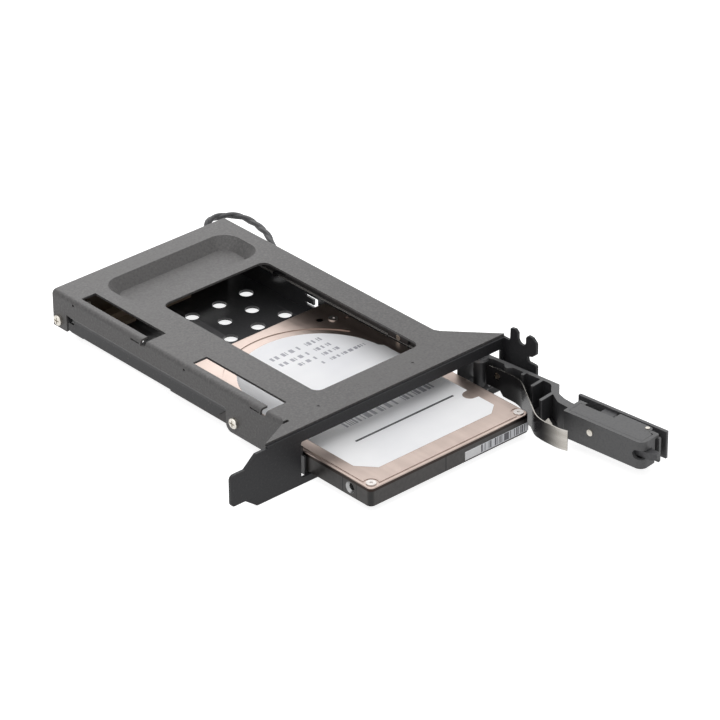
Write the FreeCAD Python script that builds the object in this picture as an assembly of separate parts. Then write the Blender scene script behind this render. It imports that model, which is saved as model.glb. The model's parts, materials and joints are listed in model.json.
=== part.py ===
import FreeCAD, Part
import math
import os

V = FreeCAD.Vector
os.makedirs("parts", exist_ok=True)

# Frame: X runs along the slot bracket from the tip of its tongue, Y = 0 is the bracket's outside face
# with +Y into the case, and Z = 0 is the bracket's lower edge. Millimetres.

# Sheets and clearances
cover_sheet = 0.8
tray_sheet = 0.8
floor_sheet = 1.0
bracket_sheet = 1.0
bend_radius = 0.8
slide_gap = 0.25
fit_gap = 0.05
run_gap = 0.3

# Slot bracket
bracket_length = 120.0
bracket_height = 19.75
tongue_width = 5.9
tongue_low = 3.65
tongue_high = 15.15
tongue_corner = 1.6
neck_x = 10.8
lap_depth = 8.0
mouth_side = 4.25
mouth_margin = 2.3
mouth_low = 2.4
mouth_high = 15.85
tab_reach = 15.3
tab_rise = 5.3
notch_width = 3.9
notch_y = -8.3
notch_depth = 4.6

# Housing
left_margin = 5.35
cover_front = 1.0
rear_margin = 3.45
flare_tip = 15.4
flare_left_y = 7.0
flare_right_y = 16.6
rail_drop = 7.0
rail_low = 4.2
rail_front = 37.0
rail_slant = 9.0
rail_tail = 1.8
rear_ear_length = 7.6
ear_corner = 2.6
front_ear_low = 5.3
rear_ear_low = 7.05
right_flange_low = 9.0
relief = 1.2
window_left_inset = 20.4
window_right_inset = 11.2
window_front = 14.2
window_length = 78.4
window_corner = 3.0
slot_inset = 3.1
slot_width = 6.0
front_slot = 16.0
front_slot_length = 39.8
rear_slot_inset = 49.3
rear_slot_length = 37.4
dish_left_inset = 14.2
dish_right_inset = 6.8
dish_inset = 7.9
dish_length = 20.2
dish_depth = 4.0
dish_wall_run = 3.4
dish_corner = 7.0
front_screw_y = 31.5
rear_screw_inset = 3.0
screw_zs = (9.6, 10.0)
screw_radius = 1.25
screw_head_radius = 1.9
screw_head_height = 1.1
spacer_radius = 2.4

# Drive
drive_width = 69.85
drive_length = 100.35
drive_height = 7.0
drive_base_height = 5.4
drive_out = 28.3
drive_corner = 1.8
drive_travel = 44.3
drive_lid_sheet = 0.6
drive_wall = 4.5
drive_floor = 1.6
side_hole_radius = 1.25
side_hole_rise = 3.0
side_hole_sink = 2.1
side_hole_offsets = (14.0, 90.6)
pcb_bay_length = 46.0
pcb_bay_side = 3.0
pcb_bay_depth = 1.3
pcb_sheet = 1.0
pcb_gap = 0.1
connector_depth = 6.0

# Tray
floor_top = 2.5
floor_inset = 2.25
tray_front = 1.2
catch_top = 8.25
catch_lug_side = 1.4
catch_lug_rise = 0.8
vent_radius = 2.5
vent_pitch = 12.2
vent_row = 10.2
vent_inset = 11.2
vent_first_y = 12.9

# Door, in its own frame: t runs along the door from the hinge, o points out of it, Z is shared
hinge_inset = 10.1
hinge_clear = 6.3
door_short = 1.95
hinge_y = 2.2
past_square = 6.5
hinge_pin_radius = 1.0
knuckle_radius = 2.0
door_low = 4.15
door_high = 14.05
wall_out = 4.6
wall_sheet = 1.5
wall_short = 11.3
rib_sheet = 1.2
sole_sheet = 0.75
sole_gap = 0.05
rib_places = ((-11.3, 1.3), (-4.2, -2.3), (3.7, -7.6))
scoop_short = 7.7
box_length = 32.5
box_in = -7.55
box_out = 1.1
box_wall = 1.35
box_floor = 1.75
box_corner = 2.6
lid_sheet = 1.1
plate_before = 2.6
plate_past = 1.2
plate_sheet = 1.2
lever_pin_inset = 4.9
lever_pin_o = 1.3
lever_pin_radius = 0.75
bolt_in = -5.9
bolt_out = -2.9
bolt_low = 8.0
bolt_high = 10.4
bolt_length = 14.2
bolt_reach = 3.5
nose_slot = 2.45
nose_gap = 0.45
end_slit = 1.1
end_lip = 1.0
end_lip_past = 0.8
finger_reach = 5.7
finger_sheet = 1.4
spring_sheet = 0.3
spring_low = 5.1
spring_deep_low = 3.6
spring_deep_from = 2.5
spring_deep_to = 1.3
spring_high = 12.55
spring_root = 2.2
spring_lift = -15.3
spring_knee = -10.7
spring_heel = 8.3
spring_crest = 17.9
spring_end = 21.1
spring_deep = -15.3
spring_bend = 12.0
rivet_t = 7.0
rivet_drop = 2.6
rivet_star = (1.2, 0.75)
coil_radius = 1.3
coil_wire = 0.25
coil_pitch = 3.2

# Backplane and wire
board_sheet = 1.6
socket_depth = 4.3
socket_inset = 4.75
socket_width = 42.7
socket_height = 5.0
port_depth = 8.0
port_inset = 2.0
data_port_width = 15.0
power_port_width = 22.0
board_side = 2.0
board_right_inset = 2.1
board_height = 13.0
wire_diameter = 2.0


def block(x0, y0, z0, x1, y1, z1):
    return Part.makeBox(x1 - x0, y1 - y0, z1 - z0, V(x0, y0, z0))


def rod(radius, start, end):
    axis = end - start
    return Part.makeCylinder(radius, axis.Length, start, axis)


def rounded_path(points, radii, closed):
    """Straight runs joined by tangent arcs: each corner's arc starts radius * tan(turn / 2) before it."""
    count = len(points)
    first = 0 if closed else 1
    last = count if closed else count - 1
    edges = []
    starts = {}
    ends = {}
    for i in range(first, last):
        before = points[i - 1] - points[i]
        after = points[(i + 1) % count] - points[i]
        before.normalize()
        after.normalize()
        turn = math.pi - before.getAngle(after)
        back = radii[i] * math.tan(turn / 2)
        starts[i] = points[i] + before * back
        ends[i] = points[i] + after * back
        middle = before + after
        if back > 1e-6:
            middle.normalize()
            reach = radii[i] * (1 / math.cos(turn / 2) - 1)
            edges.append((i, Part.Arc(starts[i], points[i] + middle * reach, ends[i]).toShape()))
    arcs = dict(edges)
    wire = []
    for i in range(count if closed else count - 1):
        j = (i + 1) % count
        a = ends.get(i, points[i])
        b = starts.get(j, points[j])
        if i in arcs:
            wire.append(arcs[i])
        if (b - a).Length > 1e-6:
            wire.append(Part.LineSegment(a, b).toShape())
    return Part.Wire(wire)


def outline(points, radius, plane=(0, 1), height=0.0):
    """A closed outline in two of the axes, with one radius or a list of them."""
    radii = radius if isinstance(radius, (list, tuple)) else [radius] * len(points)
    placed = []
    for a, b in points:
        xyz = [height] * 3
        xyz[plane[0]] = a
        xyz[plane[1]] = b
        placed.append(V(*xyz))
    return rounded_path(placed, radii, True)


def slab(points, low, high, radius=0.0, plane=(0, 1)):
    """An outline pushed from low to high along the axis that it doesn't lie in."""
    axis = 3 - plane[0] - plane[1]
    push = [0, 0, 0]
    push[axis] = high - low
    return Part.Face(outline(points, radius, plane, low)).extrude(V(*push))


def rectangle(x0, y0, x1, y1):
    return [(x0, y0), (x1, y0), (x1, y1), (x0, y1)]


def bent_strip(path, sheet, radius, low, high, plane=(0, 1)):
    """A folded sheet: a path with its thickness to the left, each fold's inner face at the given radius."""
    pts = [FreeCAD.Vector(a, b, 0) for a, b in path]
    normals = []
    for a, b in zip(pts, pts[1:]):
        d = (b - a).normalize()
        normals.append(V(-d.y, d.x, 0))
    shifted = [pts[0] + normals[0] * sheet]
    near = [0.0]
    far = [0.0]
    for i in range(1, len(pts) - 1):
        mitre = normals[i - 1] + normals[i]
        mitre.normalize()
        shifted.append(pts[i] + mitre * (sheet / mitre.dot(normals[i])))
        left_turn = normals[i - 1].cross(normals[i]).z > 0
        near.append(radius + sheet if left_turn else radius)
        far.append(radius if left_turn else radius + sheet)
    shifted.append(pts[-1] + normals[-1] * sheet)
    near.append(0.0)
    far.append(0.0)
    ring = [(p.x, p.y) for p in pts] + [(p.x, p.y) for p in reversed(shifted)]
    return slab(ring, low, high, near + list(reversed(far)), plane)


def cut_all(shape, tools):
    return shape.cut(Part.makeCompound(tools))


def join(shapes):
    return shapes[0].fuse(shapes[1:]).removeSplitter()


# Places that follow from the sizes above
hinge_x = bracket_length - hinge_inset
drive_right = hinge_x - hinge_clear
drive_left = drive_right - drive_width
cover_left = drive_left - left_margin
mouth_left = drive_left - mouth_side
drive_low = floor_top + fit_gap
drive_top = drive_low + drive_height
wall_in_right = drive_right + slide_gap
wall_out_right = wall_in_right + tray_sheet
cover_in_right = wall_out_right + fit_gap
cover_right = cover_in_right + cover_sheet
cover_top = bracket_height + cover_sheet
catch_right = drive_left - slide_gap - 0.15
catch_left = catch_right - tray_sheet
floor_left = drive_left + floor_inset
socket_left = drive_left + socket_inset
floor_low = floor_top - floor_sheet
drive_front = -drive_out
drive_rear = drive_front + drive_length
seated_rear = drive_rear + drive_travel
socket_front = seated_rear + run_gap
board_front = socket_front + socket_depth
board_rear = board_front + board_sheet
spacer_left = cover_left + cover_sheet
cover_rear = board_rear + rear_margin
rail_rear = cover_rear - rear_ear_length
screw_ys = (front_screw_y, cover_rear - rear_screw_inset)
slot_spans = ((front_slot, front_slot + front_slot_length),
              (cover_rear - rear_slot_inset, cover_rear - rear_slot_inset + rear_slot_length))
slot_left = cover_left + slot_inset
dish_left = cover_left + dish_left_inset
dish_right = cover_right - dish_right_inset
dish_rear = cover_rear - dish_inset
dish_front = dish_rear - dish_length
window_left = cover_left + window_left_inset
window_right = cover_right - window_right_inset
window_rear = window_front + window_length
mouth_right = bracket_length - mouth_margin
vent_rows = int((socket_front - 4 - vent_first_y) / vent_row) + 1
vent_columns = int((drive_width - floor_inset - vent_inset) / vent_pitch) + 1
rear_tab_x = floor_left - tray_sheet
box_end = hinge_x - drive_left - door_short
box_start = box_end - box_length
wall_end = box_start - wall_short
scoop_front = box_start - scoop_short
plate_start = box_start - plate_before
plate_end = box_end + plate_past
lever_pin_t = box_end - lever_pin_inset
bolt_rear = box_end - bolt_length
ribs = [(drive_out + t, tip) for t, tip in rib_places]


def top_cover():
    left_in = cover_left + cover_sheet
    section = [(cover_right, right_flange_low), (cover_right, cover_top), (cover_left, cover_top),
               (cover_left, rear_ear_low)]
    body = bent_strip(section, cover_sheet, bend_radius, flare_left_y, cover_rear, (0, 2))
    deeper = block(cover_left, flare_left_y, front_ear_low, left_in, rail_front - relief, rear_ear_low + 1)
    rail_in = catch_right - cover_sheet
    knee = cover_top - rail_drop
    rail = bent_strip([(cover_left, knee + 3), (cover_left, knee), (rail_in, knee - 4.5),
                       (rail_in, rail_low)],
                      cover_sheet, 2.2, rail_front, rail_rear + relief, (0, 2))
    slant = slab([(rail_front - 1, knee - 0.8), (rail_front - 1, 0), (rail_front + rail_slant, 0),
                  (rail_front + rail_slant, rail_low)], cover_left - 1, rail_in + 2, 0.0, (1, 2))
    tail = block(rail_in, rail_rear, rail_low, rail_in + cover_sheet, screw_ys[1] + rail_tail,
                 screw_zs[1] - spacer_radius - run_gap)
    tail_high = block(rail_in, rail_rear, rail_low, rail_in + cover_sheet,
                      screw_ys[1] - spacer_radius - run_gap, knee - 3.5)
    rail = join([rail.cut(slant), tail, tail_high])
    rail_space = block(cover_left - 1, rail_front - relief, 0, left_in + 0.01, rail_rear + 0.4, knee)
    ear_end = rail_front - relief
    ear_trim = block(cover_left - 1, ear_end - ear_corner, front_ear_low - 1, left_in + 1, ear_end + 1,
                     front_ear_low + ear_corner)
    ear_round = rod(ear_corner, V(cover_left - 2, ear_end - ear_corner, front_ear_low + ear_corner),
                    V(left_in + 2, ear_end - ear_corner, front_ear_low + ear_corner))
    flare = slab([(cover_left + 2, flare_left_y + 4), (cover_left, flare_left_y),
                  (flare_tip, cover_front), (bracket_length, cover_front),
                  (cover_right, flare_right_y), (cover_right - 2, flare_right_y + 4)],
                 cover_top - cover_sheet, cover_top)
    right_clear = block(cover_in_right - bend_radius, 0, 0, cover_right + 1, flare_right_y + relief,
                        cover_top - cover_sheet)
    left_slit = block(cover_left - 1, flare_left_y - 0.6, cover_top - 4, left_in + 1.2, flare_left_y + 0.6,
                      cover_top + 1)
    body = join([cut_all(body.fuse(deeper), [rail_space, right_clear]), flare, rail])
    cuts = [left_slit, ear_trim.cut(ear_round)]
    for y in (rail_rear - 3.5, front_slot + front_slot_length + 0.9):
        cuts.append(rod(0.5, V(cover_left - 1, y, cover_top - 1.9), V(left_in + 1, y, cover_top - 1.9)))
    for x in (cover_left + 15, cover_right - 21.1):
        cuts.append(rod(0.5, V(x, cover_front + 6.2, cover_top - 0.2),
                        V(x, cover_front + 6.2, cover_top + 1)))
    cuts.append(slab(rectangle(window_left, window_front, window_right, window_rear), cover_top - 2,
                     cover_top + 1, window_corner))
    for front, rear in slot_spans:
        cuts.append(block(slot_left, front, cover_top - 2, slot_left + slot_width, rear, cover_top + 1))
        cuts.append(block(cover_left - 1, front, cover_top - 2.2, slot_left + 1, front + 2.5,
                          cover_top + 1))
        cuts.append(block(cover_left - 1, front + 3.2, cover_top - 2.0, left_in + 0.5, front + 7.6,
                          cover_top - 1.4))
    for y, z in zip(screw_ys, screw_zs):
        cuts.append(rod(screw_radius + fit_gap, V(cover_left - 1, y, z), V(left_in + 1, y, z)))
        cuts.append(rod(screw_radius + fit_gap, V(cover_in_right - 1, y + 4, z + 1),
                        V(cover_right + 1, y + 4, z + 1)))
    cuts.append(rod(wire_hole_radius, V(cover_in_right - 1, wire_hole_y, wire_hole_z),
                    V(cover_right + 1, wire_hole_y, wire_hole_z)))
    mouth = dish_loft(0, 2.0)
    body = cut_all(body, cuts + [mouth])
    skin = cut_all(dish_loft(cover_sheet, 0.0), [dish_loft(0, 0.01)])
    return join([body, skin])


def dish_loft(grow, lift):
    """The pressed dish: an upper and a lower rounded rectangle joined by a sloped wall, grown by a sheet."""
    top = rectangle(dish_left - grow, dish_front - grow, dish_right + grow, dish_rear + grow)
    run = dish_wall_run
    low = rectangle(dish_left + run - grow, dish_front + run - grow, dish_right - run + grow,
                    dish_rear - run + grow)
    upper = outline(top, dish_corner + grow, (0, 1), cover_top)
    lower = outline(low, dish_corner - run + 1 + grow, (0, 1), cover_top - dish_depth - grow)
    loft = Part.makeLoft([lower, upper], True, True)
    if lift:
        loft = loft.fuse(Part.Face(upper).extrude(V(0, 0, lift)))
    return loft


def slot_bracket():
    tip = bracket_sheet
    face = [(0, tongue_low), (tongue_width, tongue_low), (neck_x, 0), (bracket_length, 0),
            (bracket_length, bracket_height), (neck_x + 4.7, bracket_height),
            (neck_x + 4.7, bracket_height - 0.6),
            (neck_x - 0.2, bracket_height - 0.6), (tongue_width, tongue_high), (0, tongue_high)]
    radii = [tongue_corner, 0.5, 0.5, 0, 0, 0, 0, 0.6, 0.6, tongue_corner]
    plate = slab(face, 0, tip, radii, (0, 2))
    mouth = slab(rectangle(mouth_left, mouth_low, mouth_right, mouth_high), -1, tip + 1, 1.0, (0, 2))
    lap_left = flare_tip + 3
    lap_right = bracket_length - 6
    lap = slab([(lap_left, tip / 2), (lap_right, tip / 2), (lap_right - 6, lap_depth),
                (lap_left + 12, lap_depth)],
               bracket_height - tip, bracket_height)
    low = 1.5
    top = bracket_height + tab_rise
    half = notch_width / 2
    sill = top - notch_depth
    tab = [(tip / 2, low), (-tab_reach + 1.2, low), (-tab_reach, low + 2), (-tab_reach, 15.1),
           (-tab_reach + 1, 15.3),
           (-11.4, 15.3), (-10.9, 17.2), (-13.4, 17.9), (-tab_reach + 0.2, 19.4),
           (-tab_reach + 0.2, top - 1.6),
           (-13.2, top), (notch_y - half - 0.9, top), (notch_y - half, top - 1.2), (notch_y - half, sill),
           (notch_y + half, sill), (notch_y + half, top - 1.0), (notch_y + half + 1.2, top),
           (notch_y + half + 3.4, top - 0.4), (notch_y + half + 3.6, bracket_height),
           (tip / 2, bracket_height)]
    tab_radii = [0, 0.5, 0.5, 0.4, 0.4, 0.6, 0.6, 0.8, 1.0, 1.0, 1.0, 0.4, 0.4, half - 0.05, half - 0.05,
                 0.4, 0.5,
                 0.5, 0.8, 0]
    side = slab(tab, bracket_length - tip, bracket_length, tab_radii, (1, 2))
    return join([plate.cut(mouth), lap, side])


def bottom_tray():
    ear_rear = cover_rear - 0.5
    floor = block(floor_left, tray_front, floor_low, wall_out_right, cover_rear, floor_top)
    flare = slab([(wall_out_right - 1, tray_front), (bracket_length - 1.5, tray_front),
                  (wall_out_right, flare_right_y), (wall_out_right - 1, flare_right_y)], floor_low,
                 floor_top)
    right = block(wall_in_right, flare_right_y + 0.5, floor_low, wall_out_right, cover_rear, drive_top)
    right_ears = [block(wall_in_right, y - 1, floor_low, wall_out_right, min(y + 9, ear_rear), z + 4)
                  for y, z in zip(screw_ys, screw_zs)]
    catch_rear = rail_front - relief - 1
    catch = block(catch_left, tray_front + 0.8, floor_low, catch_right, catch_rear, catch_top)
    bolt_y0 = hinge_y - bolt_out
    bolt_y1 = hinge_y - bolt_in
    lug_top = bolt_high + catch_lug_rise
    lug = block(catch_left, bolt_y0 - run_gap - catch_lug_side, floor_low, catch_right,
                bolt_y1 + run_gap + catch_lug_side, lug_top)
    strip = block(catch_left, tray_front + 0.8, floor_low, floor_left + 1, catch_rear, floor_top)
    ear = block(catch_left, screw_ys[0] - 5, floor_low, catch_right, catch_rear, screw_zs[0] + 3)
    rear_ear = block(rear_tab_x, screw_ys[1] - 4, floor_low, floor_left, ear_rear, screw_zs[1] + 3)
    upstand = block(board_left, board_rear, floor_low, board_left + 3.9, board_rear + tray_sheet,
                    board_high)
    upstand_right = block(board_right - 3.7, board_rear, floor_low, board_right, board_rear + tray_sheet,
                          board_high)
    body = join([floor, flare, right, catch, lug, strip, ear, rear_ear, upstand,
                 upstand_right] + right_ears)
    port_y = drive_rear + 4
    port_rise = floor_top + 2.0
    cuts = [block(wall_in_right - 1, port_y, port_rise, wall_out_right + 1, port_y + 2.2, port_rise + 4.0),
            block(wall_in_right - 1, port_y, port_rise, wall_out_right + 1, port_y + 6.4, port_rise + 0.9),
            block(wall_in_right - 1, port_y, port_rise + 3.1, wall_out_right + 1, port_y + 6.4,
                  port_rise + 4.0)]
    for row in range(vent_rows):
        for column in range(vent_columns):
            x = floor_left + vent_inset + vent_pitch * (column - 0.5 * ((row + 1) % 2))
            y = vent_first_y + vent_row * row
            if floor_left + 2 * vent_radius < x < wall_in_right - 2 * vent_radius:
                cuts.append(rod(vent_radius, V(x, y, floor_low - 1), V(x, y, floor_top + 1)))
    cuts.append(block(catch_left - 1, bolt_y0 - run_gap, bolt_low - run_gap, catch_right + 0.01,
                      bolt_y1 + run_gap,
                      lug_top + 1))
    for y, z in zip(screw_ys, screw_zs):
        cuts.append(rod(screw_radius - 0.2, V(cover_left, y, z), V(floor_left + 1, y, z)))
        cuts.append(rod(screw_radius - 0.2, V(wall_in_right - 1, y + 4, z + 1),
                        V(wall_out_right + 1, y + 4, z + 1)))
    for x in board_screw_xs:
        cuts.append(rod(board_screw_radius, V(x, board_front - 1, board_screw_z),
                        V(x, board_rear + 3, board_screw_z)))
    return cut_all(body, cuts)


def pan_screw(start, inward, length, radius, head_radius, head_height):
    """A pan-head screw: start is under the head, inward is the way the shank goes."""
    shank = rod(radius, start, start + inward * length)
    head = rod(head_radius, start - inward * head_height, start)
    crown = [e for e in head.Edges
             if e.Closed and e.Length > 1 and (e.CenterOfMass - start).dot(inward) < -head_height / 2]
    head = head.makeFillet(0.4 * head_height, crown)
    across = V(0, 0, 1)
    arms = []
    for way in (across, inward.cross(across)):
        reach = 0.62 * head_radius
        arm = Part.makeBox(2 * reach, 0.24 * head_radius, 0.5 * head_height)
        arm.translate(V(-reach, -0.12 * head_radius, 0))
        arm.Placement = FreeCAD.Placement(start - inward * head_height * 1.05,
                                          FreeCAD.Rotation(way, inward.cross(way), inward,
                                                           "ZXY")).multiply(arm.Placement)
        arms.append(arm)
    head = cut_all(head, arms)
    return head.fuse(shank).removeSplitter()


def side_screws():
    screws = []
    for y, z in zip(screw_ys, screw_zs):
        screws.append(pan_screw(V(cover_left, y, z), V(1, 0, 0), 3.5, screw_radius - 0.2, screw_head_radius,
                                screw_head_height))
        screws.append(pan_screw(V(cover_right, y + 4, z + 1), V(-1, 0, 0), cover_sheet + tray_sheet,
                                screw_radius - 0.2, screw_head_radius, screw_head_height))
    return Part.makeCompound(screws)


def side_spacers():
    spacers = []
    for y, z, end in zip(screw_ys, screw_zs, (catch_left, rear_tab_x)):
        tube = rod(spacer_radius, V(spacer_left, y, z), V(end, y, z))
        spacers.append(tube.cut(rod(screw_radius - 0.2, V(spacer_left - 1, y, z), V(end + 1, y, z))))
    return Part.makeCompound(spacers)


# Backplane places
board_left = socket_left - board_side
board_right = drive_right - board_right_inset
board_low = floor_top
board_high = floor_top + board_height
board_screw_radius = 0.9
board_screw_xs = (board_left + 2.1, board_right - 1.8)
board_screw_z = board_high - 2.5
header_x = board_right - 6.5
header_z = board_low + 8.0
wire_hole_radius = 2.0
wire_hole_y = cover_rear - 31.4
wire_hole_z = 12.4


def backplane_board():
    board = slab(rectangle(board_left, board_low, board_right, board_high), board_front, board_rear, 1.0,
                 (0, 2))
    holes = [rod(board_screw_radius, V(x, board_front - 1, board_screw_z),
                 V(x, board_rear + 1, board_screw_z))
             for x in board_screw_xs]
    return cut_all(board, holes)


def drive_socket():
    low = drive_low + 0.2
    body = slab(rectangle(socket_left, low, socket_left + socket_width, low + socket_height), socket_front,
                board_front,
                0.6, (0, 2))
    tongue = block(socket_left + 3, socket_front - 3.6, low + 1.4, socket_left + socket_width - 3,
                   socket_front, low + 2.7)
    key = block(socket_left + 15.2, socket_front - 4, low, socket_left + 17.2, socket_front, low + 4)
    return join([body, tongue.cut(key)])


def rear_port(left, width):
    low = board_low + 1.2
    shell = slab(rectangle(left, low, left + width, low + 4.6), board_rear, board_rear + port_depth, 0.5,
                 (0, 2))
    mouth = block(left + 0.9, board_rear + 1.4, low + 0.9, left + width - 0.9, board_rear + port_depth + 1,
                  low + 3.7)
    tongue = block(left + 2.0, board_rear + 1.0, low + 1.5, left + width - 2.0,
                   board_rear + port_depth - 1, low + 2.6)
    return shell.cut(mouth).fuse(tongue).removeSplitter()


def board_screws():
    return Part.makeCompound([pan_screw(V(x, board_front, board_screw_z), V(0, 1, 0),
                                        board_sheet + tray_sheet,
                                        board_screw_radius, 1.6, 1.0) for x in board_screw_xs])


def wire_header():
    half = 2.6
    body = slab(rectangle(header_x - half, header_z - 2.2, header_x + half, header_z + 2.2), board_rear,
                board_rear + 4.5, 0.4, (0, 2))
    return body


# The wire's route: out of the header, round the rear right corner and back in at the side
wire_points = [V(header_x, board_rear + 4.5, header_z), V(header_x, cover_rear + 7.6, header_z),
               V(header_x + 3.9, cover_rear + 12.0, 9.8), V(cover_right - 0.5, cover_rear + 14.2, 10.4),
               V(cover_right + 4.7, cover_rear + 15.6, 11.0), V(cover_right + 9.5, cover_rear + 16.2, 11.0),
               V(cover_right + 13.7, cover_rear + 14.0, 11.0),
               V(cover_right + 15.9, cover_rear + 10.0, 11.0),
               V(cover_right + 16.2, cover_rear + 4.6, 11.0), V(cover_right + 15.1, cover_rear - 1.4, 11.1),
               V(cover_right + 12.9, cover_rear - 7.2, 11.3), V(cover_right + 9.1, cover_rear - 15.0, 12.0),
               V(cover_right + 8.9, wire_hole_y + 9.4, 12.2),
               V(cover_right + 7.8, wire_hole_y + 4.1, wire_hole_z),
               V(cover_right + 3.7, wire_hole_y, wire_hole_z), V(cover_right - 5.1, wire_hole_y, wire_hole_z)]


def signal_wire():
    runs = [(b - a).Length for a, b in zip(wire_points, wire_points[1:])]
    radii = [0.0]
    for i in range(1, len(wire_points) - 1):
        before = wire_points[i] - wire_points[i - 1]
        after = wire_points[i + 1] - wire_points[i]
        radii.append(0.45 * min(runs[i - 1], runs[i]) / math.tan(before.getAngle(after) / 2))
    radii.append(0.0)
    path = rounded_path(wire_points, radii, False)
    start = wire_points[0]
    ring = Part.Wire(Part.makeCircle(wire_diameter / 2, start, wire_points[1] - start))
    tube = path.makePipeShell([ring], True, True)
    ideal = math.pi * wire_diameter ** 2 / 4 * path.Length
    print("wire radii", [round(r, 1) for r in radii[1:-1]], "length", round(path.Length, 1), "volume ratio",
          round(tube.Volume / ideal, 4))
    return tube


def wire_grommet():
    inner = wire_diameter / 2 + 0.05
    out = cover_right
    start = V(cover_in_right - 0.5, wire_hole_y, wire_hole_z)
    sleeve = rod(wire_hole_radius - 0.02, start, V(out, wire_hole_y, wire_hole_z))
    collar = rod(wire_hole_radius + 1.0, V(out, wire_hole_y, wire_hole_z),
                 V(out + 1.2, wire_hole_y, wire_hole_z))
    bore = rod(inner, V(out - 4, wire_hole_y, wire_hole_z), V(out + 4, wire_hole_y, wire_hole_z))
    return join([sleeve, collar]).cut(bore)


def hinge_bracket():
    web_y = hinge_y + 6.0
    left = hinge_x - 3.5
    right = hinge_x + 3.2
    lug_top = door_high + 0.35
    lugs = []
    for low in (floor_top, lug_top):
        lug = slab(rectangle(left, hinge_y, right, web_y + bracket_sheet), low, low + bracket_sheet, 0.4)
        nose = rod(3.2, V(hinge_x, hinge_y, low), V(hinge_x, hinge_y, low + bracket_sheet))
        lugs.append(lug.fuse(nose))
    web = block(left, web_y, floor_top, right, web_y + bracket_sheet, lug_top + bracket_sheet)
    bore = rod(hinge_pin_radius, V(hinge_x, hinge_y, 0), V(hinge_x, hinge_y, cover_top))
    return join(lugs + [web]).cut(bore)


def hinge_pin():
    top = door_high + 0.35 + bracket_sheet
    return rod(hinge_pin_radius, V(hinge_x, hinge_y, floor_top), V(hinge_x, hinge_y, top + 0.35))


def on_door(shape):
    """From the door's own frame to the part's, with the door standing open past square."""
    turned = shape.copy()
    turned.rotate(V(0, 0, 0), V(0, 0, 1), past_square - 90)
    turned.translate(V(hinge_x, hinge_y, 0))
    return turned


def spring_path():
    """The leaf spring's outer face, from its free end to its root."""
    return [(drive_out + spring_end, spring_deep + 0.7), (drive_out + spring_crest, spring_deep),
            (drive_out + spring_heel, spring_deep + 0.7), (drive_out + spring_knee, spring_back - 0.7),
            (drive_out + spring_lift, spring_back), (spring_root, spring_back)]


def spring_side():
    """The room of the leaf spring and of all that lies on the drive's side of it."""
    edge = [(t, o + sole_gap) for t, o in spring_path()]
    far = 2 * spring_deep
    bends = [0] + [spring_bend] * (len(edge) - 2) + [0, 0, 0]
    return slab(edge + [(spring_root, far), (drive_out + spring_end, far)], 0, cover_top, bends)


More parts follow.
